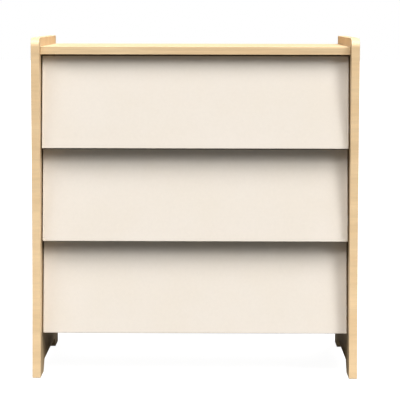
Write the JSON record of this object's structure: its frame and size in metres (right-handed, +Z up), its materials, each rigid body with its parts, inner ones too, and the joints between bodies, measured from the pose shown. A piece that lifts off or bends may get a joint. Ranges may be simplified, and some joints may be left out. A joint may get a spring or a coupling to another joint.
{
  "type": "changing table",
  "caption": "Free-standing changing table with light wooden side boards, a guarded top panel and leaning handle-less drawer fronts over an open base.",
  "frame": {"origin": "on the floor, below the middle of the whole object", "axes": "+Z up, +X to the right seen from the front, +Y from the front to the rear; the drawers open towards -Y"},
  "size_m": [0.9, 0.5049, 0.943],
  "materials": {
    "light_wood": "satin clear lacquer on pale maple-like wood",
    "cream_lacquer": "smooth satin cream lacquer",
    "drawer_wood": "matt birch",
    "hardboard": "cream painted thin hardboard",
    "runner_steel": "white epoxy powder coat",
    "roller_nylon": "plain moulded nylon",
    "glide_plastic": "plain moulded plastic",
    "fitting_zinc": "zinc plated",
    "bolt_steel": "plain steel"
  },
  "bodies": {
    "cabinet": {"side_left": "light_wood", "side_right": "light_wood", "top_panel": "light_wood", "bottom_panel": "drawer_wood", "back_panel": "hardboard", "rear_rail": "drawer_wood", "glide_front_left": "glide_plastic", "glide_front_right": "glide_plastic", "glide_rear_left": "glide_plastic", "glide_rear_right": "glide_plastic", "cam_lock_front_left": "fitting_zinc", "cam_lock_front_right": "fitting_zinc", "cam_lock_rear_left": "fitting_zinc", "cam_lock_rear_right": "fitting_zinc", "cam_bolt_front_left": "bolt_steel", "cam_bolt_front_right": "bolt_steel", "cam_bolt_rear_left": "bolt_steel", "cam_bolt_rear_right": "bolt_steel", "wall_plate": "fitting_zinc", "wall_plate_screw_left": "bolt_steel", "wall_plate_screw_right": "bolt_steel", "cabinet_runner_1_left": "runner_steel", "cabinet_runner_1_right": "runner_steel", "cabinet_runner_2_left": "runner_steel", "cabinet_runner_2_right": "runner_steel", "cabinet_runner_3_left": "runner_steel", "cabinet_runner_3_right": "runner_steel"},
    "drawer_1": {"drawer_1_front": "cream_lacquer", "drawer_1_side_left": "drawer_wood", "drawer_1_side_right": "drawer_wood", "drawer_1_back": "drawer_wood", "drawer_1_bottom": "hardboard", "drawer_runner_1_left": "runner_steel", "drawer_runner_1_right": "runner_steel"},
    "drawer_2": {"drawer_2_front": "cream_lacquer", "drawer_2_side_left": "drawer_wood", "drawer_2_side_right": "drawer_wood", "drawer_2_back": "drawer_wood", "drawer_2_bottom": "hardboard", "drawer_runner_2_left": "runner_steel", "drawer_runner_2_right": "runner_steel"},
    "drawer_3": {"drawer_3_front": "cream_lacquer", "drawer_3_side_left": "drawer_wood", "drawer_3_side_right": "drawer_wood", "drawer_3_back": "drawer_wood", "drawer_3_bottom": "hardboard", "drawer_runner_3_left": "runner_steel", "drawer_runner_3_right": "runner_steel"},
    "cabinet_roller_1_left": {"cabinet_roller_1_left": "roller_nylon"},
    "drawer_roller_1_left": {"drawer_roller_1_left": "roller_nylon"},
    "cabinet_roller_1_right": {"cabinet_roller_1_right": "roller_nylon"},
    "drawer_roller_1_right": {"drawer_roller_1_right": "roller_nylon"},
    "cabinet_roller_2_left": {"cabinet_roller_2_left": "roller_nylon"},
    "drawer_roller_2_left": {"drawer_roller_2_left": "roller_nylon"},
    "cabinet_roller_2_right": {"cabinet_roller_2_right": "roller_nylon"},
    "drawer_roller_2_right": {"drawer_roller_2_right": "roller_nylon"},
    "cabinet_roller_3_left": {"cabinet_roller_3_left": "roller_nylon"},
    "drawer_roller_3_left": {"drawer_roller_3_left": "roller_nylon"},
    "cabinet_roller_3_right": {"cabinet_roller_3_right": "roller_nylon"},
    "drawer_roller_3_right": {"drawer_roller_3_right": "roller_nylon"}
  },
  "joints": [
    {"name": "drawer_1_slide", "type": "slide", "parent": "cabinet", "child": "drawer_1", "axis": [0, -1, 0], "range_m": [0, 0.3]},
    {"name": "drawer_2_slide", "type": "slide", "parent": "cabinet", "child": "drawer_2", "axis": [0, -1, 0], "range_m": [0, 0.3]},
    {"name": "drawer_3_slide", "type": "slide", "parent": "cabinet", "child": "drawer_3", "axis": [0, -1, 0], "range_m": [0, 0.3]},
    {"name": "cabinet_roller_1_left_spin", "type": "hinge", "parent": "cabinet", "child": "cabinet_roller_1_left", "pos_m": [-0.4219, -0.15951, 0.6921], "axis": [1, 0, 0], "continuous": true},
    {"name": "drawer_roller_1_left_spin", "type": "hinge", "parent": "drawer_1", "child": "drawer_roller_1_left", "pos_m": [-0.4196, 0.1885, 0.6921], "axis": [1, 0, 0], "continuous": true},
    {"name": "cabinet_roller_1_right_spin", "type": "hinge", "parent": "cabinet", "child": "cabinet_roller_1_right", "pos_m": [0.4219, -0.15951, 0.6921], "axis": [1, 0, 0], "continuous": true},
    {"name": "drawer_roller_1_right_spin", "type": "hinge", "parent": "drawer_1", "child": "drawer_roller_1_right", "pos_m": [0.4196, 0.1885, 0.6921], "axis": [1, 0, 0], "continuous": true},
    {"name": "cabinet_roller_2_left_spin", "type": "hinge", "parent": "cabinet", "child": "cabinet_roller_2_left", "pos_m": [-0.4219, -0.15951, 0.4336], "axis": [1, 0, 0], "continuous": true},
    {"name": "drawer_roller_2_left_spin", "type": "hinge", "parent": "drawer_2", "child": "drawer_roller_2_left", "pos_m": [-0.4196, 0.1885, 0.4336], "axis": [1, 0, 0], "continuous": true},
    {"name": "cabinet_roller_2_right_spin", "type": "hinge", "parent": "cabinet", "child": "cabinet_roller_2_right", "pos_m": [0.4219, -0.15951, 0.4336], "axis": [1, 0, 0], "continuous": true},
    {"name": "drawer_roller_2_right_spin", "type": "hinge", "parent": "drawer_2", "child": "drawer_roller_2_right", "pos_m": [0.4196, 0.1885, 0.4336], "axis": [1, 0, 0], "continuous": true},
    {"name": "cabinet_roller_3_left_spin", "type": "hinge", "parent": "cabinet", "child": "cabinet_roller_3_left", "pos_m": [-0.4219, -0.15951, 0.1751], "axis": [1, 0, 0], "continuous": true},
    {"name": "drawer_roller_3_left_spin", "type": "hinge", "parent": "drawer_3", "child": "drawer_roller_3_left", "pos_m": [-0.4196, 0.1885, 0.1751], "axis": [1, 0, 0], "continuous": true},
    {"name": "cabinet_roller_3_right_spin", "type": "hinge", "parent": "cabinet", "child": "cabinet_roller_3_right", "pos_m": [0.4219, -0.15951, 0.1751], "axis": [1, 0, 0], "continuous": true},
    {"name": "drawer_roller_3_right_spin", "type": "hinge", "parent": "drawer_3", "child": "drawer_roller_3_right", "pos_m": [0.4196, 0.1885, 0.1751], "axis": [1, 0, 0], "continuous": true}
  ],
  "couplings": [
    {"joint": "cabinet_roller_1_left_spin", "follows": "drawer_1_slide", "rad_per_m": 90.909},
    {"joint": "drawer_roller_1_left_spin", "follows": "drawer_1_slide", "rad_per_m": 90.909},
    {"joint": "cabinet_roller_1_right_spin", "follows": "drawer_1_slide", "rad_per_m": 90.909},
    {"joint": "drawer_roller_1_right_spin", "follows": "drawer_1_slide", "rad_per_m": 90.909},
    {"joint": "cabinet_roller_2_left_spin", "follows": "drawer_2_slide", "rad_per_m": 90.909},
    {"joint": "drawer_roller_2_left_spin", "follows": "drawer_2_slide", "rad_per_m": 90.909},
    {"joint": "cabinet_roller_2_right_spin", "follows": "drawer_2_slide", "rad_per_m": 90.909},
    {"joint": "drawer_roller_2_right_spin", "follows": "drawer_2_slide", "rad_per_m": 90.909},
    {"joint": "cabinet_roller_3_left_spin", "follows": "drawer_3_slide", "rad_per_m": 90.909},
    {"joint": "drawer_roller_3_left_spin", "follows": "drawer_3_slide", "rad_per_m": 90.909},
    {"joint": "cabinet_roller_3_right_spin", "follows": "drawer_3_slide", "rad_per_m": 90.909},
    {"joint": "drawer_roller_3_right_spin", "follows": "drawer_3_slide", "rad_per_m": 90.909}
  ]
}
